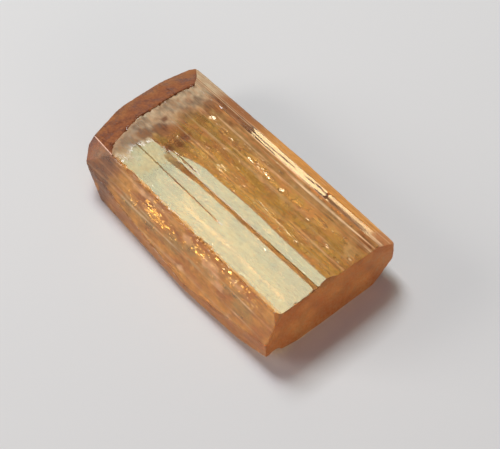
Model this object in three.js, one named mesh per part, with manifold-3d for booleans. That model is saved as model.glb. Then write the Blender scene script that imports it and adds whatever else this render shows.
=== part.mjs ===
// Imperial topaz crystal: one flattened prism, broken straight across at one end along the basal
// cleavage and closed at the other end by blunt pyramid faces.
//
// Millimetres. X runs along the crystal (its c-axis) towards the broken end, Y runs across it and
// Z points up. The origin lies under the middle of the crystal, in the plane that it rests on.

import * as THREE from "three";
import { mergeVertices } from "three/addons/utils/BufferGeometryUtils.js";
import Module from "manifold-3d";

// Driving dimensions
const THICKNESS = 5.0;
const BROKEN_END_X = 13.25; // along the top, the foot of this end stands 0.2 further out
const PYRAMID_TOP_X = -10.0; // where the pyramid faces leave the top
const PYRAMID_RIM_X = -13.3; // where they end at the blunt rim
const RIM_Z = 3.2;
const TOP_LEFT_Y = -5.35; // edge between the top and the left side
const HIP_Y = -7.2; // the left side at its widest, low down
const HIP_Z = 0.5;
const FOOT_LEFT_Y = -6.75; // edge of the resting face
const RIDGE_Y = -0.1; // between the two nearly level faces of the top
const TOP_RIGHT_Y = 5.3; // edge between the top and the upper bevel
const TOP_RIGHT_Z = 4.66;
const BEVEL_Y = 6.35; // edge between the upper and the lower bevel
const BEVEL_Z = 4.06;
const SHOULDER_Y = 7.62; // the right side at its widest
const SHOULDER_Z = 3.2;
const WAIST_Z = 2.25; // where the right side turns under
const FOOT_RIGHT_Y = 6.2;
const SPARE = 0.5; // stock that the long faces take off
const STOCK_LENGTH = 29;
const CUT_SIZE = 60;
const MERGE_DISTANCE = 1e-4;
const FLAKE_DETAIL = 2;

const UP = new THREE.Vector3(0, 0, 1);
const { degToRad } = THREE.MathUtils;

const wasm = await Module();
wasm.setup();

function solidOf(geometry) {
  geometry.deleteAttribute("normal");
  geometry.deleteAttribute("uv");
  const merged = mergeVertices(geometry, MERGE_DISTANCE);
  return new wasm.Manifold(
    new wasm.Mesh({
      numProp: 3,
      vertProperties: merged.attributes.position.array,
      triVerts: new Uint32Array(merged.index.array),
    }),
  );
}

function geometryOf(solid) {
  const mesh = solid.getMesh();
  const geometry = new THREE.BufferGeometry();
  geometry.setAttribute("position", new THREE.BufferAttribute(mesh.vertProperties, 3));
  geometry.setIndex(new THREE.BufferAttribute(mesh.triVerts, 1));
  geometry.computeVertexNormals();
  return geometry;
}

// Moves the middle of the outline over the origin.
function centred(geometry) {
  geometry.computeBoundingBox();
  const middle = geometry.boundingBox.getCenter(new THREE.Vector3());
  return geometry.translate(-middle.x, -middle.y, 0);
}

// The direction that a face looks in, in degrees: heading turns in plan from +X (0) to +Y (90),
// and rise is the angle above the level.
function facing(heading, rise) {
  const level = Math.cos(degToRad(rise));
  return new THREE.Vector3(
    Math.cos(degToRad(heading)) * level,
    Math.sin(degToRad(heading)) * level,
    Math.sin(degToRad(rise)),
  );
}

// A block that fills everything beyond the crystal face through the given point.
function beyond({ heading, rise, through }) {
  const block = new THREE.BoxGeometry(CUT_SIZE, CUT_SIZE, CUT_SIZE);
  block.translate(0, 0, CUT_SIZE / 2);
  block.applyQuaternion(new THREE.Quaternion().setFromUnitVectors(UP, facing(heading, rise)));
  block.translate(...through);
  return solidOf(block);
}

// The hollow left by a shell-shaped flake: a ball with its own radius along each axis.
function flake({ at, radii }) {
  const ball = new THREE.IcosahedronGeometry(1, FLAKE_DETAIL);
  ball.scale(...radii);
  ball.translate(...at);
  return solidOf(ball);
}

// The outline across the crystal, seen from the broken end, pushed along X. The resting face, the
// top and the right bevels are its finished faces. The sides keep spare stock.
function prism() {
  const outline = new THREE.Shape([
    new THREE.Vector2(FOOT_LEFT_Y, 0),
    new THREE.Vector2(FOOT_RIGHT_Y, 0),
    new THREE.Vector2(SHOULDER_Y + SPARE, WAIST_Z),
    new THREE.Vector2(SHOULDER_Y + SPARE, SHOULDER_Z - SPARE),
    new THREE.Vector2(BEVEL_Y, BEVEL_Z),
    new THREE.Vector2(TOP_RIGHT_Y, TOP_RIGHT_Z),
    new THREE.Vector2(RIDGE_Y, THICKNESS),
    new THREE.Vector2(TOP_LEFT_Y - SPARE, THICKNESS),
    new THREE.Vector2(HIP_Y - SPARE, HIP_Z),
  ]);
  const stock = new THREE.ExtrudeGeometry(outline, { depth: STOCK_LENGTH, bevelEnabled: false });
  stock.translate(0, 0, -STOCK_LENGTH / 2);
  const acrossUpAlong = new THREE.Matrix4().makeBasis(
    new THREE.Vector3(0, 1, 0),
    new THREE.Vector3(0, 0, 1),
    new THREE.Vector3(1, 0, 0),
  );
  stock.applyMatrix4(acrossUpAlong);
  return solidOf(stock);
}

// The sides run a little off the length of the crystal, so that it is widest near its middle.
const longFaces = [
  { heading: 269.6, rise: 26.6, through: [0, TOP_LEFT_Y, THICKNESS] },
  { heading: 266.6, rise: 4, through: [-0.5, HIP_Y, HIP_Z] },
  { heading: 273.2, rise: 4, through: [8.5, HIP_Y, HIP_Z] },
  { heading: 90.2, rise: 4, through: [-1.0, SHOULDER_Y, SHOULDER_Z] },
  { heading: 87.6, rise: 4, through: [2.5, SHOULDER_Y, SHOULDER_Z] },
  { heading: 89.5, rise: -27, through: [0, FOOT_RIGHT_Y, 0] },
];

// The cleavage leans out towards its foot. Its corners are broken back, the lower right one most.
const brokenEnd = [
  { heading: 0, rise: 2.3, through: [BROKEN_END_X, 0, THICKNESS] },
  { heading: 30, rise: 4, through: [BROKEN_END_X - 0.2, 7.25, SHOULDER_Z] },
  { heading: 297, rise: 40, through: [BROKEN_END_X - 0.5, TOP_LEFT_Y, THICKNESS] },
  { heading: 333, rise: 40, through: [BROKEN_END_X, TOP_LEFT_Y + 0.6, THICKNESS] },
  { heading: 313, rise: -70, through: [BROKEN_END_X + 0.2, -3.3, 0] },
  { heading: 72, rise: -48, through: [BROKEN_END_X + 0.15, 4.9, 0] },
];

// Four blunt faces come down from the top, listed from left to right.
const pyramid = [
  { heading: 229.5, rise: 47.5, through: [-8.1, -5.25, THICKNESS] },
  { heading: 197, rise: 60, through: [PYRAMID_TOP_X + 0.5, -2.6, THICKNESS] },
  { heading: 177, rise: 63, through: [PYRAMID_TOP_X, 1.2, THICKNESS - 0.05] },
  { heading: 169, rise: 63, through: [PYRAMID_TOP_X - 0.1, 4.6, TOP_RIGHT_Z + 0.05] },
];

// The steep rim below them, and the two faces that come in under it to the resting face.
const rim = [
  { heading: 198, rise: 8, through: [PYRAMID_RIM_X + 0.55, -2.2, RIM_Z] },
  { heading: 183, rise: 8, through: [PYRAMID_RIM_X + 0.05, 1.6, RIM_Z] },
  { heading: 171, rise: 8, through: [PYRAMID_RIM_X - 0.15, 4.0, RIM_Z] },
  { heading: 140, rise: 10, through: [-12.4, SHOULDER_Y, RIM_Z + 0.2] },
  { heading: 225, rise: -25, through: [-10.5, -6.5, RIM_Z - 0.3] },
  { heading: 182, rise: -48, through: [PYRAMID_RIM_X + 0.2, 3.0, RIM_Z - 1.0] },
];

const flakes = [
  // under the left corner of the broken end
  { at: [13.6, -6.0, 0.2], radii: [0.9, 0.9, 0.9] },
  // out of the top of the broken end, where the two faces of the top meet
  { at: [14.15, -0.3, 5.3], radii: [1.3, 1.7, 0.9] },
  // out of the top left edge, towards the pyramid
  { at: [-5.2, -5.45, 5.15], radii: [1.1, 0.42, 0.4] },
  // out of the hip, below the pyramid's left corner
  { at: [-8.9, -6.85, 1.2], radii: [0.5, 0.3, 0.6] },
];

function crystal() {
  let solid = prism();
  for (const face of [...longFaces, ...brokenEnd, ...pyramid, ...rim]) {
    solid = solid.subtract(beyond(face));
  }
  for (const hollow of flakes) {
    solid = solid.subtract(flake(hollow));
  }
  return solid;
}

const topaz = new THREE.Mesh(
  centred(geometryOf(crystal())),
  new THREE.MeshStandardMaterial({ color: 0xc07a35, roughness: 0.15, metalness: 0 }),
);
topaz.name = "topaz_crystal";

const group = new THREE.Group();
group.add(topaz);

export default group;
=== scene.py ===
"""Imperial topaz crystal on a plain pale floor.

The frame gives the crystal's plain faceted solid. This script works a copy of it over with
growth striae, grooves, chips and worn edges, and adds the flaws that are sealed inside.
Mesh work is in millimetres and is brought to metres as each piece is finished.
"""
import math
import random

import bmesh
import bpy
from mathutils import Matrix, Vector, noise


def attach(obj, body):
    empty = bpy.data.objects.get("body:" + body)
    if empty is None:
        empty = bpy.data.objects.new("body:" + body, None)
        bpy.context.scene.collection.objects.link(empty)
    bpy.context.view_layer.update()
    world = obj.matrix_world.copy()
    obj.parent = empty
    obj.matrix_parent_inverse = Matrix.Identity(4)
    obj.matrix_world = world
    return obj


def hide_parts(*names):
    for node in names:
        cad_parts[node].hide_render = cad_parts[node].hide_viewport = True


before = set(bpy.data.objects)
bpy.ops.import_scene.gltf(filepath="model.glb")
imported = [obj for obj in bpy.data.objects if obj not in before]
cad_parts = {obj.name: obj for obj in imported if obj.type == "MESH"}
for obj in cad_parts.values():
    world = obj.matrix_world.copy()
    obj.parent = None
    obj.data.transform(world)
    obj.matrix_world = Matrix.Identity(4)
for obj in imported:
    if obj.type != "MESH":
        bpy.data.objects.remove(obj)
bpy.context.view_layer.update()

MM = 0.001
NODE = "topaz_crystal"

# ---- camera, light and floor

LOOK_AT = Vector((3.55, -0.092, 2.4)) * MM
CAMERA_HEADING = math.radians(49.3)
CAMERA_HEIGHT = math.radians(52.5)
CAMERA_DISTANCE = 112.3 * MM
FOCAL_PIXELS = 1360
PICTURE_WIDTH = 500
SENSOR_WIDTH = 36


def link(thing):
    bpy.context.scene.collection.objects.link(thing)
    return thing


def add_camera():
    lens = bpy.data.cameras.new("camera")
    lens.sensor_width = SENSOR_WIDTH
    lens.lens = FOCAL_PIXELS / PICTURE_WIDTH * SENSOR_WIDTH
    lens.clip_start = 1 * MM
    camera = link(bpy.data.objects.new("camera", lens))
    back = Vector((
        math.sin(CAMERA_HEADING) * math.cos(CAMERA_HEIGHT),
        -math.cos(CAMERA_HEADING) * math.cos(CAMERA_HEIGHT),
        math.sin(CAMERA_HEIGHT),
    ))
    camera.location = LOOK_AT + back * CAMERA_DISTANCE
    camera.rotation_euler = (-back).to_track_quat("-Z", "Y").to_euler()
    bpy.context.scene.camera = camera


LIGHTS_AIM = Vector((0, 0, 3))
WINDOW_HEIGHT = 600
FLOOR_RADIUS = 900
FLOOR_GAP = 0.02  # between the floor and the resting face


def add_panel(name, centre, size, radiance, tint):
    """A flat soft light that faces the crystal. Its place and size are in millimetres."""
    lamp = bpy.data.lights.new(name, "AREA")
    lamp.shape = "RECTANGLE"
    lamp.size, lamp.size_y = (side * MM for side in size)
    # A lamp's radiance is its power over pi times its area.
    lamp.energy = radiance * math.pi * lamp.size * lamp.size_y
    lamp.color = tint
    panel = link(bpy.data.objects.new(name, lamp))
    panel.visible_camera = False
    panel.location = Vector(centre) * MM
    towards = (LIGHTS_AIM - Vector(centre)).normalized()
    panel.rotation_euler = towards.to_track_quat("-Z", "Y").to_euler()
    return panel


def add_window(name, low, high, radiance, tint):
    """A soft light level overhead that faces down, from its low to its high corner."""
    centre = ((low[0] + high[0]) / 2, (low[1] + high[1]) / 2, WINDOW_HEIGHT)
    size = (high[0] - low[0], high[1] - low[1])
    panel = add_panel(name, centre, size, radiance, tint)
    panel.rotation_euler = (0, 0, 0)


# A Mix node's sockets go by number, because their names repeat.
MIX_SHARE, MIX_FIRST, MIX_SECOND, MIX_RESULT = 0, 6, 7, 2


def add_world(dim, pale):
    """A dim room round a lit table, which the camera itself sees as a pale backdrop."""
    world = bpy.data.worlds.new("pale room")
    world.use_nodes = True
    nodes, links = world.node_tree.nodes, world.node_tree.links
    seen = nodes.new("ShaderNodeLightPath")
    blend = nodes.new("ShaderNodeMix")
    blend.data_type = "RGBA"
    blend.inputs[MIX_FIRST].default_value = (*dim, 1)
    blend.inputs[MIX_SECOND].default_value = (*pale, 1)
    links.new(seen.outputs["Is Camera Ray"], blend.inputs[MIX_SHARE])
    links.new(blend.outputs[MIX_RESULT], nodes["Background"].inputs["Color"])
    bpy.context.scene.world = world


# ---- finishes


class Wire:
    """One output of a node, so that shader maths reads as plain arithmetic."""

    def __init__(self, finish, socket):
        self.finish = finish
        self.socket = socket

    def maths(self, operation, *values):
        return self.finish.add("ShaderNodeMath", {"operation": operation}, dict(enumerate(values)))

    def __add__(self, other):
        return self.maths("ADD", self, other)

    def __mul__(self, other):
        return self.maths("MULTIPLY", self, other)

    __radd__ = __add__
    __rmul__ = __mul__


class Finish:
    """A material and the nodes that it is made of."""

    def __init__(self, name):
        self.material = bpy.data.materials.new(name)
        self.material.use_nodes = True
        self.tree = self.material.node_tree
        self.tree.nodes.clear()

    def add(self, kind, settings=None, inputs=None, output=0):
        """Adds a node. Settings are set first, then each input takes a number or a wire."""
        node = self.tree.nodes.new(kind)
        for name, value in (settings or {}).items():
            setattr(node, name, value)
        for name, value in (inputs or {}).items():
            if isinstance(value, Wire):
                self.tree.links.new(value.socket, node.inputs[name])
            else:
                node.inputs[name].default_value = value
        return Wire(self, node.outputs[output])

    def mixed(self, share, first, second):
        """A colour between two others, each a wire or three numbers."""
        ends = {
            end: colour if isinstance(colour, Wire) else (*colour, 1)
            for end, colour in ((MIX_FIRST, first), (MIX_SECOND, second))
        }
        return self.add(
            "ShaderNodeMix", {"data_type": "RGBA"}, {MIX_SHARE: share, **ends}, MIX_RESULT)

    def place(self):
        """Where a point lies in the frame, in metres."""
        return self.add("ShaderNodeTexCoord", output="Object")

    def uneven(self, scale, detail):
        """Noise that stays fixed to the piece."""
        return self.add("ShaderNodeTexNoise", inputs={
            "Vector": self.place(), "Scale": scale, "Detail": detail})

    def rise(self, value, start, end):
        """0 up to the start value, 1 from the end value on, and a straight rise between."""
        return self.add("ShaderNodeMapRange", inputs={
            "Value": value, "From Min": start, "From Max": end})

    def output(self, **ends):
        node = self.tree.nodes.new("ShaderNodeOutputMaterial")
        for name, wire in ends.items():
            self.tree.links.new(wire.socket, node.inputs[name])
        return self.material


def pale_floor():
    """A plain floor with hardly any shine."""
    finish = Finish("pale floor")
    surface = finish.add("ShaderNodeBsdfPrincipled", inputs={
        "Base Color": (0.80, 0.82, 0.83, 1),
        "Roughness": 0.9,
        "Specular IOR Level": 0.1,
    })
    return finish.output(Surface=surface)


TOPAZ_IOR = 1.62
ABSORBED = (10, 78, 215)  # how strongly red, green and blue are absorbed, per metre
ABSORPTION_DENSITY = 240  # more than each of them, so that the node's colour stays above 0
BUMP_HEIGHT = 0.02 * MM
CLEAR_TINT = (1, 1, 0.90)
STREAKED_TINT = (0.62, 0.40, 0.20)
IRON_TINT = (0.44, 0.12, 0.03)
BLOTCHED_SKIN = (0.42, 0.17, 0.06)
SCORED_SKIN = (0.50, 0.17, 0.05)
# Painted highlight: pale glinting streaks along the striae of the skin.
STREAK_GLINT_SKIN = (1.0, 0.72, 0.42)


def clear_topaz():
    """Polished topaz under a thin matte skin, which hides it where it is etched, broken or hazy, and
    which carries painted highlights and reflections.
    """
    finish = Finish("golden topaz")

    def painted(name):
        node = finish.add("ShaderNodeAttribute", {"attribute_name": name}).socket.node
        return Wire(finish, node.outputs["Color"]), Wire(finish, node.outputs["Alpha"])

    zone, cover = painted("zone")
    split = finish.add("ShaderNodeSeparateColor", inputs={"Color": zone}).socket.node
    frost, stain, warm = (Wire(finish, part) for part in split.outputs)
    skin_colour, streaky = painted("skin")
    place = finish.place()

    def streaks(stretch, scale, detail, start, end):
        """Noise drawn out along the crystal, 0 up to the start value and 1 from the end on."""
        drawn = finish.add(
            "ShaderNodeMapping", inputs={"Vector": place, "Scale": (stretch, 1, 1)})
        lines = finish.add(
            "ShaderNodeTexNoise", inputs={"Vector": drawn, "Scale": scale, "Detail": detail})
        return finish.rise(lines, start, end)

    broad = streaks(0.22, 900, 4, 0.44, 0.62)
    narrow = streaks(0.10, 3000, 3, 0.42, 0.62)
    smudge = streaks(0.8, 1100, 5, 0.36, 0.66)
    speckle = streaks(0.25, 5200, 2, 0.42, 0.62)
    crinkled = streaks(0.6, 3600, 4, 0.42, 0.60)
    scored = streaks(0.04, 3800, 2, 0.48, 0.62) * streaky
    # Painted highlight: pale glints along the striae.
    painted_glint_streaks = streaks(0.03, 2600, 2, 0.55, 0.68) * streaky
    grain = finish.uneven(3000, 3)
    bump = finish.add("ShaderNodeBump", inputs={
        "Height": narrow * 0.12 + grain * frost, "Strength": 0.3, "Distance": BUMP_HEIGHT})

    shade = (broad * 0.5 + narrow * 0.3 + speckle * 0.25) * stain
    tint = finish.mixed(shade, CLEAR_TINT, STREAKED_TINT)
    clear = finish.add("ShaderNodeBsdfPrincipled", inputs={
        "Base Color": finish.mixed(warm, tint, IRON_TINT),
        "Roughness": frost * 0.9 + 0.01,
        "IOR": TOPAZ_IOR,
        "Transmission Weight": 1.0,
        "Normal": bump,
    })
    blotches = smudge * 0.20 + speckle * 0.14 + crinkled * 0.2
    colour = finish.mixed(blotches, skin_colour, BLOTCHED_SKIN)
    colour = finish.mixed(scored * 0.55, colour, SCORED_SKIN)
    skin = finish.add("ShaderNodeBsdfPrincipled", inputs={
        "Base Color": finish.mixed(painted_glint_streaks, colour, STREAK_GLINT_SKIN),
        "Roughness": 0.8,
        "Specular IOR Level": 0.2,
        "Normal": bump,
    })
    hidden = cover * (smudge * 0.5 + speckle * 0.25 + 0.6) + scored * 0.3 + painted_glint_streaks * 0.25
    surface = finish.add("ShaderNodeMixShader", inputs={0: hidden, 1: clear, 2: skin})
    inside = finish.add("ShaderNodeVolumeAbsorption", inputs={
        "Color": (*(1 - taken / ABSORPTION_DENSITY for taken in ABSORBED), 1),
        "Density": ABSORPTION_DENSITY,
    })
    return finish.output(Surface=surface, Volume=inside)


def mirror_void(name, bright, dull):
    """The wall of a liquid-filled hollow, which throws back nearly all light."""
    finish = Finish(name)
    uneven = finish.uneven(2500, 2)
    surface = finish.add("ShaderNodeBsdfPrincipled", inputs={
        "Base Color": finish.mixed(uneven, bright, dull),
        "Metallic": 1.0,
        "Roughness": uneven * 0.3 + 0.06,
    })
    return finish.output(Surface=surface)


def thin_film():
    """The wall of a hollow too thin to throw back more than a little of the light."""
    finish = Finish("thin film")
    share = finish.rise(finish.uneven(1700, 2), 0.42, 0.72)
    surface = finish.add("ShaderNodeBsdfPrincipled", inputs={
        "Base Color": (1.0, 0.92, 0.72, 1),
        "Metallic": 1.0,
        "Roughness": 0.1,
        "Alpha": share * share * 0.30 + 0.02,
    })
    return finish.output(Surface=surface)


def iron_stain():
    """Dull brown iron oxide."""
    finish = Finish("iron stain")
    surface = finish.add("ShaderNodeBsdfPrincipled", inputs={
        "Base Color": finish.mixed(
            finish.uneven(4000, 3), (0.40, 0.13, 0.04), (0.14, 0.04, 0.015)),
        "Roughness": 0.8,
        "Specular IOR Level": 0.1,
    })
    return finish.output(Surface=surface)


# ---- pieces


def mesh_object(name, bm, material):
    """Brings a mesh in millimetres to metres, as an object of one material."""
    bmesh.ops.scale(bm, vec=Vector((1, 1, 1)) * MM, verts=bm.verts)
    mesh = bpy.data.meshes.new(name)
    bm.to_mesh(mesh)
    bm.free()
    mesh.materials.append(material)
    return link(bpy.data.objects.new(name, mesh))


def finished_piece(name, bm, material):
    """Makes a mesh a piece that rides on the crystal."""
    piece = mesh_object(name, bm, material)
    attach(piece, "root")
    return piece


def add_floor():
    bm = bmesh.new()
    bmesh.ops.create_circle(bm, cap_ends=True, segments=96, radius=FLOOR_RADIUS)
    bmesh.ops.translate(bm, vec=(0, 0, -FLOOR_GAP), verts=bm.verts)
    mesh_object("floor", bm, pale_floor())


# ---- crystal

FLAT_ANGLE = math.radians(0.4)  # faces that turn less than this are one
CREASE = math.radians(5)  # a step sharper than this keeps a crisp edge
WELD = 0.002  # points closer than this become one
CHIP_AREA = 0.5  # faces smaller than this belong to a chip
CHIP = -1
LEAN = math.atan2(0.15, 18.9)  # the striae run this far off the length of the crystal
ALONG = Vector((math.cos(LEAN), math.sin(LEAN), 0))
ACROSS = Vector((-math.sin(LEAN), math.cos(LEAN), 0))
UP = Vector((0, 0, 1))

STRIA_STEP = 0.1  # between the cuts along the striae
LEVEL_STEP = 0.11  # between the level cuts of the steep faces
LENGTH_STEP = 0.28  # between the cuts across the crystal
FINE_STEP = 0.13  # the same where an edge is worn
LENGTH_SPREAD = 0.2  # how much those two steps vary
GROOVE_GAP = 0.04  # other cuts stay this far from a groove's own
STEEP = 0.9  # a face whose normal rises less than this is cut level too
HALF_LENGTH = 13.6  # the cuts reach a little past the crystal
HALF_WIDTH = 7.8
TOP_Z = 5.0
TOPS = ("mirror", "top right")
SIDES = ("left side", "left hip", "right side", "right under")


def kind_of(normal):
    """Names a crystal face by the way it looks."""
    x, y, z = normal
    if z > 0.9995:
        return "mirror"
    if z > 0.98:
        return "top right"
    if z < -0.99:
        return "base"
    if x > 0.8:
        return "broken end"
    if x < -0.25 and z > 0.4:
        return "far left" if y < -0.4 else "pyramid"
    if x < -0.25:
        return "rim"
    if y > 0.2 and z > 0.3:
        return "upper bevel" if z > 0.85 else "lower bevel"
    if y > 0.2:
        return "right side" if z > -0.3 else "right under"
    if y < -0.5:
        return "left side" if z > 0.3 else "left hip"
    return "chip"


def spaced(rng, low, high, step, spread=0.45):
    """Places from low to high, an uneven step apart."""
    places = []
    place = low + step * 0.5
    while place < high:
        places.append(place)
        place += step * rng.uniform(1 - spread, 1 + spread)
    return places


def slice_across(bm, faces, axis, places):
    """Cuts the faces at each place along the axis, in rising order, and gives all of them back."""
    ahead, behind = list(faces), []
    for place in places:
        around = {part for face in ahead for part in (*face.edges, *face.verts)}
        cut = bmesh.ops.bisect_plane(
            bm, geom=[*ahead, *around], dist=WELD, plane_co=axis * place, plane_no=axis)
        pieces = {part for part in cut["geom"] if isinstance(part, bmesh.types.BMFace)}
        ahead = []
        for face in pieces:
            if face.calc_center_median().dot(axis) > place:
                ahead.append(face)
            else:
                behind.append(face)
    return ahead + behind


def ease(low, high, value):
    """0 below low, 1 above high, and a smooth rise between."""
    share = min(1, max(0, (value - low) / (high - low)))
    return share * share * (3 - 2 * share)


def ripple(x, s, seed, along=0.05, across=6.0):
    """Striae, from -1 to 1: they change slowly along the crystal and quickly across it."""
    return noise.noise(Vector((x * along, s * across, seed)))


def cloud(point, scale, seed):
    """Even relief with no direction, from -1 to 1."""
    return noise.noise(Vector(point) * scale + Vector((seed, 2 * seed, 3 * seed)))


# A groove falls gently across its width and rises steeply at its right edge.
GROOVES = [  # from x, to x, left, right, depth, how much wider it starts
    (-6.2, 99, -1.87, -1.46, 0.040, 0.35),
    (-8.4, 4.6, -3.15, -3.02, 0.014, 0),
    (-5.4, -0.6, -1.24, -1.10, 0.012, 0),
]
GROOVE_STARTS = 1.5  # a groove deepens over this length
GROOVE_FADES = 3
RISER = 0.035  # how wide the steep rise is


def groove_depth(x, s):
    """How deep the grooves are at a place on the mirror face."""
    depth = 0
    for start, end, left, right, deepest, flare in GROOVES:
        left -= flare * (1 - ease(-4.5, -1, x))
        if left <= s <= right:
            fall = (s - left) / (right - RISER - left)
            rise = (right - s) / RISER
            there = ease(start, start + GROOVE_STARTS, x)
            there *= 1 - ease(end - GROOVE_FADES, end, x)
            depth += deepest * there * max(0, min(fall, rise, 1))
    return depth


RIDGE_Y = -0.19  # where the frame's two faces of the top meet
TOP_FALL = 0.063  # the right one falls this much per millimetre of Y
RIDGE_START_Y = -1.75  # of the grown crystal's ridge
RIDGE_BENDS = [(-7, -1.5, 1.35), (-0.5, 2.5, 0.12), (5, 9, -0.1)]  # from x, to x, shift


def ridge_y(x):
    """Where the grown crystal's mirror face gives way to the right face of the top."""
    return RIDGE_START_Y + sum(shift * ease(low, high, x) for low, high, shift in RIDGE_BENDS)


def dent(x, y, seed):
    """Short shallow dents that lie along the crystal, here and there."""
    return max(0, ripple(x, y, seed, 1.6, 5.5) - 0.36)


def etching(point):
    """How strongly the pyramid end of the top is etched, from 0 to 1."""
    return 1 - ease(-8.6, -6.4, point.x + 0.7 * cloud(point, 0.8, 3))


def pits(point):
    """The depth of the pits that the etching has left."""
    return etching(point) * (0.012 * (1 + cloud(point, 3.2, 4)) + 0.006 * cloud(point, 8, 22))


STEP_X = 6.5  # the upper bevel steps down here
STEP_SLANT = 0.6
STRIP_Y = 5.75  # beyond the step only the outer strip keeps its tilt
BEVEL_Y = 6.26
BEVEL_LEAN = 0.026  # the grown bevel is this much flatter than the frame's


def bevel_relief(point, s):
    """The upper bevel: nearly flat, scored with thin lines, and stepped down past its middle."""
    x = point.x
    rough_end = 1 + 4 * (1 - ease(-3.5, -0.8, x))
    fine = 0.0028 * ripple(x, s, 5, 0.12, 3.2) + 0.0012 * ripple(x, s, 6, 0.2, 9)
    scored = max(0, 0.07 - abs(ripple(x, s, 21, 0.05, 3.2))) * 0.2
    along = x + STEP_SLANT * (point.y - STRIP_Y)
    stepped = ease(STEP_X - 0.12, STEP_X + 0.12, along) * (1 - 0.4 * ease(9, 12, along))
    tilted = 0.08 * max(0, STRIP_Y - point.y)
    leaning = BEVEL_LEAN * (BEVEL_Y - point.y)
    return leaning + fine * rough_end + scored + stepped * (0.045 + tilted)


# A straight fold splits the far left face and tilts it; the narrow strip along the fold is painted
# pale pink as a highlight.
FOLD_START = Vector((-12.0, -4.42, 0))
FOLD_END = Vector((-8.1, -5.35, 0))
FOLD_ACROSS = UP.cross(FOLD_END - FOLD_START).normalized()
FOLD_HALF_WIDTH = 0.035
FOLD_TILT = 0.12


def fold_side(point):
    """How far a point lies beyond the fold, towards the pyramid."""
    return (point - FOLD_START).dot(FOLD_ACROSS)


# Depth, then striae by strength, seed and scale along and across, then dents by strength, scale
# and seed.
RELIEF = {
    "base": (0.012, [(0.003, 3, 0.1, 3)], [(0.006, 1.2, 5)]),
    "broken end": (0.02, [], [(0.02, 0.7, 6), (0.003, 5, 7)]),
    "lower bevel": (0.03, [(0.010, 5, 0.12, 3.2), (0.004, 6, 0.2, 9)], []),
    "left side": (0.03, [(0.010, 9, 0.1, 4)], [(0.012, 1.6, 9)]),
}
for same in ("right side", "right under", "left hip"):
    RELIEF[same] = (0.03, [(0.015, 7, 0.12, 3)], [(0.008, 2, 8)])
for same in ("pyramid", "far left", "rim"):
    RELIEF[same] = (0.02, [], [(0.009, 1.2, 10), (0.004, 4, 11)])
PLAIN_RELIEF = (0.01, [], [])


def depth_of(kind, point):
    """How far a point of a crystal face lies under the plain frame, in millimetres."""
    x, s = point.x, point.dot(ACROSS)
    if kind == "mirror":
        lowered = max(0, min(point.y, RIDGE_Y) - ridge_y(x)) * TOP_FALL
        fine = 0.0010 * ripple(x, s, 1) + 0.0014 * cloud(point, 0.9, 1) + 0.01 * dent(x, s, 40)
        return 0.003 + groove_depth(x, s) + lowered + fine + pits(point)
    if kind == "top right":
        lowered = max(0, RIDGE_Y - ridge_y(x)) * TOP_FALL
        fine = 0.0016 * ripple(x, s, 2, 0.06, 4) + 0.0010 * cloud(point, 1.5, 2)
        return 0.006 + lowered + fine + pits(point) + 0.008 * dent(x, s, 41)
    if kind == "upper bevel":
        return 0.03 + bevel_relief(point, s)
    depth, striae, dents = RELIEF.get(kind, PLAIN_RELIEF)
    if kind == "far left":
        depth += FOLD_TILT * max(0, fold_side(point))
    for strength, seed, along, across in striae:
        depth += strength * ripple(x, point.z if kind in SIDES else s, seed, along, across)
    for strength, scale, seed in dents:
        depth += strength * cloud(point, scale, seed)
    return depth


def shown_kind(kind, middle):
    """The kind of face that a piece of one is painted as."""
    if kind != "far left":
        return kind
    # The narrow strip along the fold is painted as a highlight.
    if abs(fold_side(middle)) < FOLD_HALF_WIDTH:
        return "fold"
    return "pyramid" if fold_side(middle) > 0 else kind


LEAST_REACH = 0.03  # how far in from an edge its wear goes
MOST_REACH = 0.5
WEAR_SLOPE = 0.5
CRISP = 0.25  # the wear of an edge that isn't in the table
RAGGEDNESS = {  # how worn the edge between two kinds of face is
    ("left side", "mirror"): 1.0, ("broken end", "mirror"): 0.8,
    ("broken end", "top right"): 0.6, ("broken end", "left side"): 0.8,
    ("mirror", "pyramid"): 1.3, ("far left", "mirror"): 0.7,
    ("pyramid", "top right"): 1.6, ("pyramid", "pyramid"): 0.3,
    ("mirror", "top right"): 0,
}


def worn_edges(bm, plane, kinds):
    """Each edge between two of the frame's planes, with a point of both planes and its wear."""
    edges = {}
    for edge in bm.edges:
        first, second = sorted(face[plane] for face in edge.link_faces)
        if first == CHIP or first == second:
            continue
        pair = tuple(sorted((kinds[first], kinds[second])))
        wear = RAGGEDNESS.get(pair, CRISP)
        if wear:
            edges[first, second] = (edge.verts[0].co.copy(), wear)
    return edges


def reach_of(point, wear):
    """How far in from a worn edge the wear goes: waves, and nicks on top of them."""
    waves = max(0, cloud(point, 0.75, 12) - 0.02) * 0.22
    nicks = abs(cloud(point, 2.6, 13)) * 0.26 + abs(cloud(point, 6.0, 19)) * 0.06
    return min(MOST_REACH, LEAST_REACH + wear * (waves + nicks))


def inset_of(point, corner, one, other):
    """How far in from the edge of two planes a point lies."""
    return ((corner - point).dot(one) + (corner - point).dot(other)) / one.cross(other).length


def wear_at(point, looks, edges, numbers):
    """How the wear of the edges nearby moves a point of the frame."""
    shift = Vector()
    for (first, second), (corner, wear) in edges.items():
        if numbers and first not in numbers and second not in numbers:
            continue
        one, other = looks[first], looks[second]
        inset = inset_of(point, corner, one, other)
        if inset < MOST_REACH:
            depth = WEAR_SLOPE * max(0, reach_of(point, wear) - inset)
            shift -= (one + other).normalized() * depth
    return shift


THIN_GROOVE = -3.08  # the striae bend most near the middle of this groove


def drift(x, s):
    """How far a stria is shifted along Y, because none is quite straight."""
    near_thin = max(0, 1 - abs(s - THIN_GROOVE) / 0.8)
    return -0.024 * (x + 1.4) * near_thin + 0.02 * ripple(x, s, 20, 0.25, 0.8)


def haziness(point):
    """How far a point of the top has passed from the mirror face into the hazy right face."""
    return ease(-0.04, 0.06, point.y - ridge_y(point.x))


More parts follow.
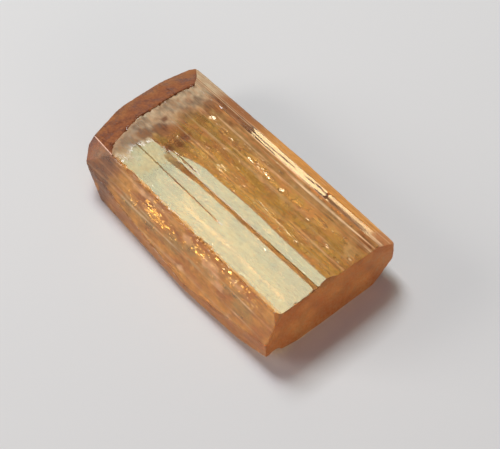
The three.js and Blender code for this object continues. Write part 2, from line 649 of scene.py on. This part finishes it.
FROST = {  # how matte, how unevenly, and the scale and seed of the unevenness
    "broken end": (0.85, 0, 1, 0), "upper bevel": (0.03, 0, 1, 0),
    "left side": (0.16, 0.12, 0.9, 16), "right side": (0.08, 0.06, 0.9, 44),
    "right under": (0.08, 0.06, 0.9, 44), "pyramid": (0.12, 0.06, 1.5, 15),
    "rim": (0.12, 0.06, 1.5, 15), "base": (0.12, 0.08, 0.8, 17),
}
OTHER_FROST = (0.3, 0, 1, 0)


def frost_of(kind, point):
    """How matte a point of the clear topaz is, from 0, polished, to 1."""
    if kind in TOPS:
        matte = 0.8 + 0.3 * cloud(point, 2.5, 14)
        etched = 0.85 * ease(0.3, 0.95, etching(point)) * matte * (1 - 0.9 * haziness(point))
        spots = 0.06 * ease(0.05, 0.45, cloud(point, 1.1, 21))
        return 0.02 + etched + spots + 0.08 * haziness(point)
    even, uneven, scale, seed = FROST.get(kind, OTHER_FROST)
    return even + uneven * cloud(point, scale, seed)


# How streaked the clear topaz and its skin are, the skin's pale streaks being painted glints, and how
# much of the topaz the skin hides.
STAIN = {"top right": 0.8, "left side": 0.9, "base": 0.8, "broken end": 0.3}
STREAKY = {"upper bevel": 0.7, "lower bevel": 0.7, "pyramid": 0, "rim": 0, "broken end": 0}
COVER = {
    "broken end": 0.62, "left side": 0.68, "left hip": 0.55, "pyramid": 0.94, "rim": 0.88,
    # The lower bevel is wholly hidden under its painted bright orange.
    "far left": 0.75, "chip": 0.6, "fold": 0.95, "upper bevel": 0.03, "lower bevel": 1.1,
}
OTHER_STAIN, OTHER_STREAKY, OTHER_COVER = 0.6, 0.1, 0.1
WARMTH = {"far left": 0.3, "upper bevel": 0.15, "lower bevel": 0.15}  # how rusty, others not

BEIGE_SKIN = (0.76, 0.60, 0.38)
PALE_SKIN = (0.72, 0.50, 0.29)
GREY_SKIN = (0.42, 0.30, 0.18)
LILAC_SKIN = (0.15, 0.07, 0.04)
# Painted reflection: the mirror face's skin, cream at its far end and whitish nearer.
CREAM_REFLECTION_SKIN = (1.0, 0.80, 0.36)
WHITISH_REFLECTION_SKIN = (1.0, 0.96, 0.68)
GOLDEN_SKIN = (1.0, 0.60, 0.11)
COPPER_SKIN = (1.0, 0.44, 0.13)
ORANGE_SKIN = (0.78, 0.43, 0.14)
RUST_SKIN = (0.34, 0.10, 0.03)
BROWN_SKIN = (0.72, 0.32, 0.13)
HIP_SKIN = (0.37, 0.21, 0.13)
# Painted highlight: bright gold skin round the glinting sparkles of the left side.
SPARKLE_HIGHLIGHT_SKIN = (1.0, 0.68, 0.26)
# Painted highlight: the pale pink glints of the left side.
PINK_GLINT_SKIN = (1.0, 0.60, 0.32)
BLEACHED_SKIN = (0.80, 0.50, 0.18)
RED_SKIN = (0.82, 0.28, 0.08)
DULL_SKIN = (0.43, 0.18, 0.07)
DEEP_SKIN = (0.70, 0.24, 0.07)
SKIN = {
    "broken end": (1.0, 0.42, 0.12), "left side": (1.0, 0.52, 0.16),
    # The fold's pale pink is a painted highlight.
    "chip": (0.85, 0.40, 0.14), "fold": (1.0, 0.66, 0.52),
    "left hip": (0.9, 0.44, 0.15), "pyramid": (0.21, 0.058, 0.019),
    "rim": (0.27, 0.10, 0.033), "far left": (0.28, 0.12, 0.085),
    # The lower bevel's orange is the topaz's colour, painted bright as the light that shines out
    # through it.
    "upper bevel": (0.95, 0.52, 0.24), "lower bevel": (1.0, 0.46, 0.10),
}

# Spots of the top: the seed of their outlines, then x, y, radius and strength of each.
RUST = 25, [  # iron stains
    (-5.6, 0.7, 0.55, 0.9), (-5.6, -1.35, 0.6, 0.8), (-5.4, -0.3, 0.5, 0.8), (-6.4, 0.9, 0.4, 0.7),
    (-6.9, 3.8, 0.35, 0.6), (-6.4, 5.0, 0.5, 0.7), (-4.6, 4.9, 0.7, 0.5), (8.9, 0.3, 0.3, 0.5),
    (12.5, 4.3, 0.7, 0.7), (11.8, 4.9, 0.8, 0.6), (-7.4, 0.1, 0.5, 0.35), (-9.0, 3.6, 0.4, 0.4),
]
LILAC_PATCHES = 23, [  # dull lilac patches on the etched end
    (-8.4, 0.6, 0.4, 0.9), (-8.1, -1.8, 0.8, 0.8), (-7.3, 4.7, 0.7, 0.8), (-7.7, 2.5, 0.9, 0.6),
    (-7.7, -3.2, 0.5, 0.7), (-7.6, -0.5, 0.9, 0.9),
]
BLEACHED = 42, [  # pale cloudy patches
    (12.1, 3.1, 0.8, 0.9), (-1.9, 0.9, 0.3, 0.5), (9.6, 1.2, 0.4, 0.5),
]
SPARKLES = [  # inside the left side: x, z, depth, spread along, spread up, count, longest
    (-2.5, 2.8, 1.2, 0.7, 0.3, 80, 0.6), (-0.9, 2.5, 1.2, 0.6, 0.25, 30, 0.4),
    (3.2, 3.8, 0.4, 0.35, 0.25, 20, 0.3), (4.1, 3.0, 0.7, 0.5, 0.07, 24, 0.7),
    (5.8, 3.6, 0.4, 0.6, 0.3, 34, 0.5), (7.7, 3.5, 0.8, 0.4, 0.2, 12, 0.3),
    (8.8, 3.7, 0.9, 0.5, 0.2, 20, 0.3),
    (-4.5, 2.2, 0.8, 0.7, 0.5, 16, 0.3), (1.4, 2.9, 0.7, 0.6, 0.4, 12, 0.2),
    (10.0, 3.2, 0.8, 0.7, 0.4, 16, 0.25),
]
PAINTED_PINK_GLINTS = [  # x, z, spread along, spread up: painted pale pink glints of the left side
    (2.7, 4.2, 0.6, 0.3), (5.7, 3.8, 1.0, 0.5), (6.9, 3.2, 0.6, 0.25), (2.9, 1.87, 0.25, 0.3),
    (-3.4, 4.4, 0.8, 0.25), (8.3, 4.4, 0.7, 0.2), (0.6, 1.2, 0.5, 0.15), (9.0, 1.8, 0.2, 0.4),
]
TEETH_Y = -5.26  # the left side's skin reaches over the edge of the top to about here
HAZE_DEEPENS = (2.8, 4.6)  # the haze of the top grows between these places across it
CLEARS_UP = (2.2, 2.8)  # the skin over the sparkles clears, and takes its painted highlight, between these heights
BEVEL_ENDS = (11.2, 12.0)  # the bevels turn dull between these places along them


def strongest(point, spots, rough, scale, seed, fades=(0.5, 1.3)):
    """How strongly the strongest spot marks a point, from 0 to 1. A spot is given by how many of
    its own sizes away it is, and its strength. The outlines are uneven."""
    found = 0
    for away, strength in spots:
        if away < 2:
            blurred = away + rough * cloud(point, scale, seed)
            found = max(found, strength * (1 - ease(*fades, blurred)))
    return found


def spotted(point, spots):
    """How strongly round spots mark a point of the top."""
    seed, places = spots
    sized = (
        (math.hypot(point.x - x, point.y - y) / radius, strength)
        for x, y, radius, strength in places)
    return strongest(point, sized, 0.6, 2.5, seed)


def near_sparkles(point):
    """How near the sparkles inside the left side a point lies: there the skin clears and is painted
    with their highlight.
    """
    sized = (
        (math.hypot((point.x - x) / (2 * along), (point.z - z) / (2 * up)), 1)
        for x, z, _, along, up, _, _ in SPARKLES)
    return strongest(point, sized, 0.4, 2.0, 29)


def painted_pink_glint(point):
    """How strongly a painted pale pink glint marks the left side."""
    sized = (
        (math.hypot((point.x - x) / along, (point.z - z) / up), 1)
        for x, z, along, up in PAINTED_PINK_GLINTS)
    return strongest(point, sized, 0.9, 1.8, 38, fades=(0.4, 1.4))


def edge_teeth(point):
    """How far the left side's matte skin bites in over the edge of the top, from 0 to 1."""
    inward = point.y - TEETH_Y + 0.13 * cloud(point, 2.2, 35) + 0.05 * cloud(point, 6, 36)
    return 1 - ease(0.06, 0.16, inward)


def cover_of(kind, point):
    """How much of the clear topaz the matte skin hides, from 0 to 1."""
    x, y, z = point
    if kind in TOPS:
        # Painted reflection: cream skin over the far part of the mirror face.
        painted_cream_reflection = 0.45 * (1 - ease(-5.4, -2.8, x))
        worn_away = ease(4.8, 5.1, y) * (ease(-7.8, -7, x) - ease(-5.2, -4, x))
        gold = 0.30 + 0.22 * ease(*HAZE_DEEPENS, y) + 0.45 * worn_away
        flecks = 0.03 + 0.25 * max(0, cloud(point, 2.8, 43))
        plain = flecks + painted_cream_reflection + haziness(point) * (gold - painted_cream_reflection)
        plain = max(plain, 0.85 * edge_teeth(point), 0.7 * spotted(point, BLEACHED))
        dull = spotted(point, LILAC_PATCHES)
        etched = 0.72 + 0.16 * haziness(point) + 0.25 * dull
        return plain + (etched - plain) * max(ease(0, 0.75, etching(point)), 0.8 * dull)
    if kind == "upper bevel":
        dull = 0.65 * (1 - ease(-4.2, -2.4, x + 0.4 * cloud(point, 1.5, 39)))
        dull += 0.5 * ease(*BEVEL_ENDS, x + 0.3 * cloud(point, 1.5, 39))
        return COVER[kind] + dull + 0.32 * ease(STEP_X, STEP_X + 0.4, x)
    if kind == "left side":
        dipped = COVER[kind] * (1 - 0.35 * near_sparkles(point) * ease(*CLEARS_UP, z))
        # The skin hides the topaz where the pale pink glints are painted on it.
        return dipped + (0.95 - dipped) * painted_pink_glint(point)
    return COVER.get(kind, OTHER_COVER)


def between(first, second, share):
    """The colour that lies a share of the way from the first to the second."""
    return tuple(a + (b - a) * share for a, b in zip(first, second))


def top_skin(point):
    """The colour of the matte skin on the two faces of the top."""
    x, y, _ = point
    uneven = cloud(point, 1.1, 31) + 0.6 * cloud(point, 3.4, 33)
    beige = between(BEIGE_SKIN, PALE_SKIN, ease(-10.2, -8.0, x - 0.15 * y))
    beige = between(beige, GREY_SKIN, ease(-0.25, 0.6, uneven))
    patch = ripple(x, y, 40, 0.5, 1.3) + 0.5 * ripple(x, y, 41, 1.5, 3.5)
    golden = between(GOLDEN_SKIN, COPPER_SKIN, ease(-0.3, 0.45, patch))
    golden = between(golden, ORANGE_SKIN, ease(*HAZE_DEEPENS, y))
    golden = between(golden, BLEACHED_SKIN, spotted(point, BLEACHED))
    # Painted reflection: the skin of the mirror face.
    pale = between(CREAM_REFLECTION_SKIN, WHITISH_REFLECTION_SKIN, ease(-4.5, -2.5, x))
    golden = between(pale, golden, haziness(point))
    golden = between(golden, SKIN["left side"], edge_teeth(point))
    colour = between(golden, beige, etching(point))
    colour = between(colour, LILAC_SKIN, spotted(point, LILAC_PATCHES))
    return between(colour, RUST_SKIN, spotted(point, RUST))


def left_skin(colour, point):
    """The colour of the matte skin on the left side and its hip."""
    x, _, z = point
    patch = ripple(x, z, 26, 0.45, 1.3) + 0.5 * ripple(x, z, 27, 1.4, 3.5)
    colour = between(BROWN_SKIN, colour, ease(-0.5, 0.35, patch))
    # Painted highlight: the skin near the sparkles turns bright gold.
    colour = between(colour, SPARKLE_HIGHLIGHT_SKIN, near_sparkles(point) * ease(*CLEARS_UP, z))
    # Painted highlight: pale pink glints.
    colour = between(colour, PINK_GLINT_SKIN, painted_pink_glint(point))
    return between(HIP_SKIN, colour, ease(-7.8, -6.6, x + 0.5 * patch))


def skin_of(kind, point):
    """The colour of the matte skin at a point."""
    x, _, z = point
    if kind in TOPS:
        return top_skin(point)
    colour = SKIN.get(kind, PALE_SKIN)
    if kind in ("upper bevel", "lower bevel"):
        colour = between(colour, BROWN_SKIN, ease(*BEVEL_ENDS, x))
        colour = between(DULL_SKIN, colour, ease(-5, 0, x))
        return between(BEIGE_SKIN, colour, ease(-9, -7.4, x))
    if kind == "pyramid":
        return between(SKIN["rim"], colour, ease(3.4, 4.0, z + 0.7 * cloud(point, 0.9, 18)))
    if kind == "far left":
        return between(colour, HIP_SKIN, ease(-10.8, -9.4, x + 0.8 * cloud(point, 1.0, 32)))
    if kind in ("left side", "left hip"):
        return left_skin(colour, point)
    if kind == "broken end":
        colour = between(RED_SKIN, colour, ease(-0.4, 0.4, cloud(point, 0.7, 28)))
        return between(DEEP_SKIN, colour, ease(-0.8, 2.6, z + 1.6 * cloud(point, 0.5, 37)))
    return colour


def streakiness(kind, point):
    """How strongly pale streaks, painted glints along the striae, mark the matte skin, from 0 to 1."""
    if kind in TOPS:
        hazy = 0.5 + 0.5 * ease(2.8, 4.4, point.y)
        return hazy * haziness(point) * (1 - etching(point))
    if kind == "left side":
        return 0.3 + 0.6 * near_sparkles(point)
    return STREAKY.get(kind, OTHER_STREAKY)


def warmth_of(kind, point):
    """How strongly iron has stained the clear topaz at a point, from 0 to 1."""
    if kind == "pyramid":
        return 0.8 + 0.2 * ease(3.5, 4.1, point.z + 0.8 * cloud(point, 0.9, 18))
    if kind == "rim":
        return 0.7 + 0.4 * cloud(point, 0.7, 18)
    if kind == "base":
        return 0.25 * ease(0, 0.5, ripple(point.x, point.y, 24, 0.4, 0.9))
    if kind in TOPS:
        return max(0.1 * ease(4.2, 5.0, point.y), spotted(point, RUST))
    return WARMTH.get(kind, 0)


def frame_shape():
    """The frame's solid in millimetres, welded, with each flat face whole and numbered."""
    bm = bmesh.new()
    bm.from_mesh(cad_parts[NODE].data)
    bmesh.ops.scale(bm, vec=Vector((1, 1, 1)) / MM, verts=bm.verts)
    bmesh.ops.remove_doubles(bm, verts=bm.verts, dist=WELD)
    bmesh.ops.dissolve_limit(
        bm, angle_limit=FLAT_ANGLE, verts=bm.verts, edges=bm.edges, delimit=set())
    bm.normal_update()
    plane = bm.faces.layers.int.new("plane")
    looks = {CHIP: UP}
    for number, face in enumerate(bm.faces):
        face[plane] = number if face.calc_area() > CHIP_AREA else CHIP
        looks[number] = face.normal.copy()
    return bm, plane, looks


def near_edge(face, looks, edges, plane):
    """True if a face lies where an edge may be worn."""
    middle = face.calc_center_median()
    return any(
        inset_of(middle, corner, looks[first], looks[second]) < MOST_REACH
        for (first, second), (corner, wear) in edges.items()
        if wear > CRISP and face[plane] in (first, second))


def slice_up(bm, plane, looks, kinds, edges):
    """Cuts the flat faces finely, so that their points can carry the relief."""
    rng = random.Random(7)
    lines = [line for _, _, left, right, _, _ in GROOVES for line in (left, right - RISER, right)]
    striae = [
        place for place in spaced(rng, -HALF_WIDTH, HALF_WIDTH, STRIA_STEP)
        if all(abs(place - line) > GROOVE_GAP for line in lines)]
    faces = slice_across(bm, bm.faces, ACROSS, sorted(striae + lines))
    steep = [f for f in faces if f[plane] == CHIP or abs(looks[f[plane]].z) < STEEP]
    slice_across(bm, steep, UP, spaced(rng, 0, TOP_Z, LEVEL_STEP))
    long_faces = [f for f in bm.faces if kinds[f[plane]] != "broken end"]
    slice_across(
        bm, long_faces, ALONG, spaced(rng, -HALF_LENGTH, HALF_LENGTH, LENGTH_STEP, LENGTH_SPREAD))
    worn = [f for f in bm.faces if near_edge(f, looks, edges, plane)]
    slice_across(bm, worn, ALONG, spaced(rng, -HALF_LENGTH, HALF_LENGTH, FINE_STEP, LENGTH_SPREAD))
    folded = [f for f in bm.faces if kinds[f[plane]] == "far left"]
    fold = FOLD_START.dot(FOLD_ACROSS)
    slice_across(bm, folded, FOLD_ACROSS, [fold - FOLD_HALF_WIDTH, fold, fold + FOLD_HALF_WIDTH])


def paint(bm, plane, kinds):
    """Writes on each corner how matte, stained and covered it is, and the colour of its skin."""
    zone = bm.loops.layers.float_color.new("zone")
    skin = bm.loops.layers.float_color.new("skin")
    for face in bm.faces:
        face.smooth = True
        kind = shown_kind(kinds[face[plane]], face.calc_center_median())
        stain = STAIN.get(kind, OTHER_STAIN)
        for corner in face.loops:
            point = corner.vert.co
            corner[zone] = (
                frost_of(kind, point), stain, warmth_of(kind, point), cover_of(kind, point))
            corner[skin] = (*skin_of(kind, point), streakiness(kind, point))


def worked_place(vert, plane, looks, kinds, edges):
    """Where a point of the frame lies on the grown, etched and worn crystal."""
    touching = {face[plane] for face in vert.link_faces}
    flat = touching - {CHIP}
    shift = wear_at(vert.co, looks, edges, flat)
    for number in flat:
        # Faces that look much the same way share their shift between them.
        shared = sum(max(0, looks[number].dot(looks[other])) for other in flat)
        shift -= looks[number] * depth_of(kinds[number], vert.co) / shared
    if len(touching) == 1 and kinds[next(iter(touching))] in TOPS:
        shift.y += drift(vert.co.x, vert.co.dot(ACROSS))
    return vert.co + shift


def add_crystal():
    bm, plane, looks = frame_shape()
    kinds = {number: kind_of(look) for number, look in looks.items()}
    kinds[CHIP] = "chip"
    edges = worn_edges(bm, plane, kinds)
    slice_up(bm, plane, looks, kinds, edges)
    paint(bm, plane, kinds)
    for edge in bm.edges:
        edge.smooth = len({face[plane] for face in edge.link_faces}) == 1
    places = [worked_place(vert, plane, looks, kinds, edges) for vert in bm.verts]
    for vert, place in zip(bm.verts, places):
        vert.co = place
    bm.normal_update()
    for edge in bm.edges:
        if edge.smooth and edge.calc_face_angle(0) > CREASE:
            edge.smooth = False
    bmesh.ops.triangulate(bm, faces=[f for f in bm.faces if len(f.verts) > 4])
    crystal = finished_piece("crystal", bm, clear_topaz())
    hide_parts(NODE)


# ---- sealed flaws

LEFT_EDGE_Y = -5.44  # the frame's edge between the top and the left side
LEFT_SPREAD = 0.5  # the left side stands out this much per millimetre down
LEFT_INWARD = 1.12  # of Y, per millimetre of depth under that side


def under_top(x, y, depth):
    """The point at a depth under the top."""
    return Vector((x, y, TOP_Z - TOP_FALL * max(0, y - RIDGE_Y) - depth))


def under_left(x, z, depth):
    """The point at a depth under the left side."""
    return Vector((x, LEFT_EDGE_Y - LEFT_SPREAD * (TOP_Z - z) + depth * LEFT_INWARD, z))


def placed(centre, size, turn, tilt, pitch):
    """The place of a flaw with its length, width and thickness. Turn is about the upright, tilt
    about its length and pitch about its width, in degrees."""
    place = Matrix.Translation(centre)
    for angle, axis in ((turn, "Z"), (pitch, "Y"), (tilt, "X")):
        place = place @ Matrix.Rotation(math.radians(angle), 4, axis)
    return place @ Matrix.Diagonal((*size, 1))


def add_grain(bm, centre, size, turn, tilt=0, rounds=1):
    """A rounded grain, smooth all over."""
    made = bmesh.ops.create_icosphere(
        bm, subdivisions=rounds, radius=0.5, matrix=placed(centre, size, turn, tilt, pitch=0))
    for vert in made["verts"]:
        for face in vert.link_faces:
            face.smooth = True


def add_plate(bm, centre, size, turn, tilt, pitch=0, sides=6):
    """A thin flat plate, which throws back the light as one glint."""
    bmesh.ops.create_cone(
        bm, cap_ends=True, segments=sides, radius1=0.5, radius2=0.5, depth=1,
        matrix=placed(centre, size, turn, tilt, pitch))


def add_needle(bm, start, end, radius):
    """A growth tube that narrows towards its end."""
    run = end - start
    lying = run.to_track_quat("Z", "Y").to_matrix().to_4x4()
    bmesh.ops.create_cone(
        bm, cap_ends=True, segments=5, radius1=radius, radius2=radius * NEEDLE_TAPER,
        depth=run.length, matrix=Matrix.Translation((start + end) / 2) @ lying)


def along_line(points, shares):
    """Steps along a line of points: each place, and the line's heading there in degrees."""
    for (x0, y0), (x1, y1) in zip(points, points[1:]):
        heading = math.degrees(math.atan2(y1 - y0, x1 - x0))
        for share in shares:
            yield x0 + (x1 - x0) * share, y0 + (y1 - y0) * share, heading


NEEDLE_TAPER = 0.4
FILM_THICKNESS = 0.012
PLATE_THICKNESS = 0.015
GLINT_THICKNESS = 0.02
HOLLOW_THICKNESS = 0.03
STRING_DEPTH = 0.35
GLINT_TILT = 4  # plates under the top that lean this far to the left are the brightest
SIDE_TILT = 16.2  # the same for plates inside the left side
BEADS = [  # the string of hollows runs through these places
    (-0.56, 3.31), (-0.1, 3.3), (0.51, 3.39), (1.14, 3.28), (1.8, 3.2), (2.44, 3.13),
]
GLINTS = [  # x, y, depth, length, width
    (-5.2, 3.75, 0.4, 0.16, 0.12), (-6.2, 0.2, 0.3, 0.18, 0.16), (-3.2, 3.6, 0.4, 0.7, 0.08),
    (-1.5, 0.8, 0.5, 0.7, 0.08), (-1.1, 0.6, 0.6, 0.7, 0.07), (-1.3, 1.1, 0.7, 0.6, 0.08),
    (-0.8, 0.9, 0.5, 0.4, 0.10), (4.1, 4.25, 0.5, 0.35, 0.14), (5.6, 4.1, 0.5, 0.3, 0.09),
    (6.6, 4.0, 0.45, 1.5, 0.07), (8.6, 4.3, 0.4, 1.9, 0.05), (7.4, 2.7, 0.5, 0.45, 0.11),
    (6.3, 0.6, 0.6, 1.3, 0.07), (7.4, 0.5, 0.6, 0.9, 0.08), (8.6, 0.45, 0.6, 0.45, 0.14),
    (9.1, 0.6, 0.5, 0.2, 0.15), (10.6, 1.95, 0.5, 0.5, 0.12), (10.4, 2.1, 0.5, 0.3, 0.08),
    (12.3, 2.7, 0.4, 0.25, 0.16), (12.6, 2.5, 0.4, 0.3, 0.14), (12.2, 1.6, 0.4, 0.2, 0.14),
    (3.8, 0.9, 0.7, 0.9, 0.07), (4.4, 0.8, 0.8, 0.7, 0.07), (1.5, -0.05, 0.3, 0.2, 0.12),
    (1.5, 1.0, 0.6, 0.25, 0.12), (-2.7, 2.4, 0.5, 0.25, 0.10), (-3.6, 1.4, 0.5, 0.5, 0.06),
]
GLINT_SLIMNESS = 0.65
CRESCENT = (-6.05, 3.9)
CRESCENT_PLATES = 5
CRESCENT_TURN = 55  # from one plate to the next
DROP = (3.85, 3.12)
DASHES = [  # x, y, just under the mirror
    (3.3, -4.0), (5.0, -2.4), (5.4, -4.0), (7.7, -3.6), (9.1, -4.0), (11.0, -3.6), (7.1, -5.1),
    (-2.6, -4.4), (-4.4, -4.6), (-3.2, -4.8), (1.7, -3.8), (7.7, -2.1), (9.6, -1.1), (11.3, -1.2),
    (-0.5, -4.9), (0.8, -2.4), (6.6, -0.8), (4.6, -4.9), (10.2, -2.6), (12.1, -4.4), (8.6, -5.0),
]
STAINS = [  # x, y, depth, spread, count, size
    (-5.5, -1.3, 0.25, 0.3, 5, 0.2), (-5.6, 0.6, 0.3, 0.25, 6, 0.24), (-5.7, -0.3, 0.35, 0.3, 4, 0.2),
    (-6.4, 1.8, 0.4, 0.2, 3, 0.15), (-0.15, -0.2, 0.3, 0.04, 2, 0.16), (6.1, -1.6, 0.3, 0.05, 2, 0.12),
    (8.9, 0.15, 0.5, 0.15, 4, 0.2), (11.6, 1.8, 0.4, 0.06, 2, 0.2), (12.1, 1.95, 0.4, 0.05, 2, 0.24),
    (12.4, 2.3, 0.4, 0.1, 2, 0.15), (9.7, 2.4, 0.4, 0.1, 3, 0.15), (12.4, 4.2, 0.4, 0.3, 5, 0.18),
    (-8.7, 0.6, 0.2, 0.2, 3, 0.12),
]
CRACKS = [  # each runs through these places, x and y
    [(9.9, 0.06), (9.95, 0.4), (10.0, 0.83), (10.2, 1.4), (10.4, 1.98)],
    [(-6.7, 5.2), (-6.75, 4.5), (-6.7, 3.75), (-6.9, 3.0), (-6.5, 2.0), (-6.45, 1.3)],
    [(-6.4, 0.6), (-6.35, 0.0), (-6.2, -0.65), (-6.2, -1.3)],
]
VEILS = [  # x, y, depth, spread along, spread across, count
    (0.3, 0.95, 1.6, 0.6, 0.3, 60), (11.0, 3.4, 0.7, 1.0, 0.5, 90), (7.6, 0.5, 0.8, 0.8, 0.3, 40),
    (4.0, 0.9, 1.0, 0.8, 0.3, 40), (3.0, 4.3, 1.4, 2.0, 0.3, 50),
]
FILMS = 300
TUBES = 110
EDGE_STREAKS = 70
SIDE_FILMS = 90
BRIGHT_SHARE = 0.55  # of the sparkles inside the left side


def add_hollows():
    """Flat hollows that glint where they face the light, the largest in one string."""
    bm = bmesh.new()
    rng = random.Random(21)
    for x, y, depth, length, width in GLINTS:
        add_plate(
            bm, under_top(x, y, depth), (length, width * GLINT_SLIMNESS, GLINT_THICKNESS),
            turn=rng.gauss(0, 3), tilt=GLINT_TILT + rng.uniform(-1.2, 1.2))
    for x, y, _ in along_line(BEADS, (0, 0.3, 0.6)):
        spot = under_top(x + rng.uniform(-0.08, 0.08), y + rng.uniform(-0.11, 0.11), STRING_DEPTH)
        size = (rng.uniform(0.1, 0.26), rng.uniform(0.08, 0.16), HOLLOW_THICKNESS)
        add_plate(
            bm, spot, size, turn=rng.uniform(-30, 30),
            tilt=GLINT_TILT + rng.uniform(-2, 2), sides=7)
    for number in range(CRESCENT_PLATES):
        angle = math.radians(30 + CRESCENT_TURN * number)
        spot = under_top(
            CRESCENT[0] + 0.2 * math.cos(angle), CRESCENT[1] + 0.15 * math.sin(angle), STRING_DEPTH)
        # However it is turned, a plate leans to the left as the others do.
        turn = 90 + CRESCENT_TURN * number
        lean = GLINT_TILT * math.cos(math.radians(turn))
        pitch = -GLINT_TILT * math.sin(math.radians(turn))
        add_plate(bm, spot, (0.3, 0.17, HOLLOW_THICKNESS), turn=turn, tilt=lean, pitch=pitch)
    add_plate(
        bm, under_top(*DROP, STRING_DEPTH), (0.5, 0.24, HOLLOW_THICKNESS), turn=10,
        tilt=GLINT_TILT, sides=9)
    add_grain(bm, under_top(DROP[0] - 0.1, DROP[1] - 0.1, 0.5), (0.6, 0.34, 0.14), turn=8, rounds=2)
    silvery = mirror_void("silvery hollow", (0.80, 0.78, 0.72), (0.40, 0.34, 0.24))
    finished_piece("bright_hollows", bm, silvery)


def add_films():
    """Thin films, tubes and veils, which show faintly."""
    bm = bmesh.new()
    rng = random.Random(22)
    for x, y in DASHES:
        size = (rng.uniform(0.12, 0.4), rng.uniform(0.04, 0.08), PLATE_THICKNESS)
        add_plate(
            bm, under_top(x, y, 0.1), size, turn=rng.gauss(0, 12),
            tilt=GLINT_TILT + rng.gauss(0, 0.8))
    for _ in range(FILMS):
        x, y = rng.uniform(-7, 12.3), rng.uniform(-0.6, 5.4)
        length = 0.14 * 5 ** rng.random()
        add_plate(
            bm, under_top(x, y, rng.uniform(0.4, 3.4)),
            (length * 1.3, rng.uniform(0.025, 0.07), FILM_THICKNESS),
            turn=rng.gauss(0, 3), tilt=GLINT_TILT + rng.gauss(0, 4), pitch=rng.gauss(0, 3))
    for _ in range(TUBES):
        x, y = rng.uniform(-7, 9), rng.uniform(-0.4, 5.6)
        start = under_top(x, y, rng.uniform(0.3, 3))
        run = Vector((rng.uniform(0.8, 4.0), rng.gauss(0, 0.03), rng.gauss(0, 0.03)))
        add_needle(bm, start, start + run, rng.uniform(0.006, 0.014))
    for _ in range(EDGE_STREAKS):
        x, y = rng.uniform(-7, 11), rng.uniform(3.9, 5.0)
        add_plate(
            bm, under_top(x, y, rng.uniform(0.15, 0.6)),
            (rng.uniform(0.6, 2.6), rng.uniform(0.02, 0.05), FILM_THICKNESS),
            turn=rng.gauss(0, 0.7), tilt=GLINT_TILT + rng.gauss(0, 3))
    for x, y, depth, along, across, count in VEILS:
        for _ in range(count):
            spot = under_top(rng.gauss(x, along), min(5.3, rng.gauss(y, across)), depth)
            spot.z += 0.15 * cloud(spot, 0.9, 30) + rng.gauss(0, 0.05)
            size = rng.uniform(0.04, 0.12)
            add_plate(
                bm, spot, (size * 2, size, FILM_THICKNESS), turn=rng.gauss(0, 15),
                tilt=GLINT_TILT + rng.gauss(0, 4), pitch=rng.gauss(0, 3))
    finished_piece("thin_films", bm, thin_film())


def lit_depth(height):
    """How deep under the left side a plate has to lie for light from the top to reach it."""
    return 0.1 + 0.45 * (TOP_Z - height)


def add_sparkles():
    """Clusters of small plates just inside the left side, which all lean much the same way."""
    bright, faint = bmesh.new(), bmesh.new()
    rng = random.Random(34)
    for x, z, depth, along, up, count, longest in SPARKLES:
        for _ in range(count):
            height = min(4.3, max(0.7, rng.gauss(z, up)))
            deep = max(depth, lit_depth(height)) + rng.uniform(0, 0.4)
            spot = under_left(rng.gauss(x, along), height, deep)
            size = (rng.uniform(0.3, 1) * longest, rng.uniform(0.05, 0.12), PLATE_THICKNESS)
            add_plate(
                bright if rng.random() < BRIGHT_SHARE else faint, spot, size,
                turn=rng.gauss(0, 4), tilt=SIDE_TILT + rng.gauss(0, 0.6), pitch=rng.gauss(0, 0.9))
    for _ in range(SIDE_FILMS):
        height = rng.uniform(1.6, 4.3)
        spot = under_left(rng.uniform(-7, 12), height, lit_depth(height) + rng.uniform(0, 0.9))
        add_plate(
            faint, spot, (0.12 * 7 ** rng.random(), rng.uniform(0.03, 0.07), FILM_THICKNESS),
            turn=rng.gauss(0, 3), tilt=SIDE_TILT + rng.gauss(0, 0.9), pitch=rng.gauss(0, 1))
    golden = mirror_void("golden hollow", (0.97, 0.70, 0.26), (0.60, 0.34, 0.09))
    finished_piece("side_sparkles", bright, golden)
    finished_piece("side_films", faint, thin_film())


def add_stains():
    """Brown specks of iron oxide, and the cracks that they have crept along."""
    bm = bmesh.new()
    rng = random.Random(55)
    for x, y, depth, spread, count, size in STAINS:
        for _ in range(count):
            spot = under_top(rng.gauss(x, spread), rng.gauss(y, spread), depth)
            spot.z -= abs(rng.gauss(0, 0.1))
            width = size * rng.uniform(0.5, 1)
            add_grain(
                bm, spot, (width * 1.5, width, width * 0.4), turn=rng.uniform(0, 180),
                tilt=rng.gauss(0, 20))
    for crack in CRACKS:
        for x, y, heading in along_line(crack, (0, 0.33, 0.66)):
            size = (rng.uniform(0.2, 0.4), rng.uniform(0.03, 0.07), 0.2)
            add_grain(bm, under_top(x, y, 0.4), size, turn=heading + rng.gauss(0, 12))
    finished_piece("iron_specks", bm, iron_stain())


add_camera()
add_world((0.15, 0.105, 0.112), (0.62, 0.64, 0.65))
add_window("window trees", (-450, 230), (-210, 350), 6.2, (0.93, 1.18, 0.87))
add_window("window sky", (-590, 30), (-262, 228), 18.0, (0.97, 0.99, 1.02))
add_window("window side", (-590, 230), (-452, 350), 15.5, (0.98, 1.0, 1.0))
add_panel("low left light", (-220, -255, 125), (170, 120), 7.4, (1.04, 0.97, 0.91))
add_panel("low room light", (420, -120, 80), (260, 140), 3.1, (1, 0.80, 0.66))
add_panel("low card", (-140, 294, 22), (52, 50), 8.5, (1, 0.76, 0.40))
add_floor()
add_crystal()
add_hollows()
add_films()
add_sparkles()
add_stains()

scene = bpy.context.scene
scene.view_settings.view_transform = "Standard"
scene.cycles.caustics_refractive = True
scene.cycles.caustics_reflective = True
scene.cycles.max_bounces = 24
scene.cycles.transmission_bounces = 24
scene.cycles.glossy_bounces = 12
scene.cycles.transparent_max_bounces = 32
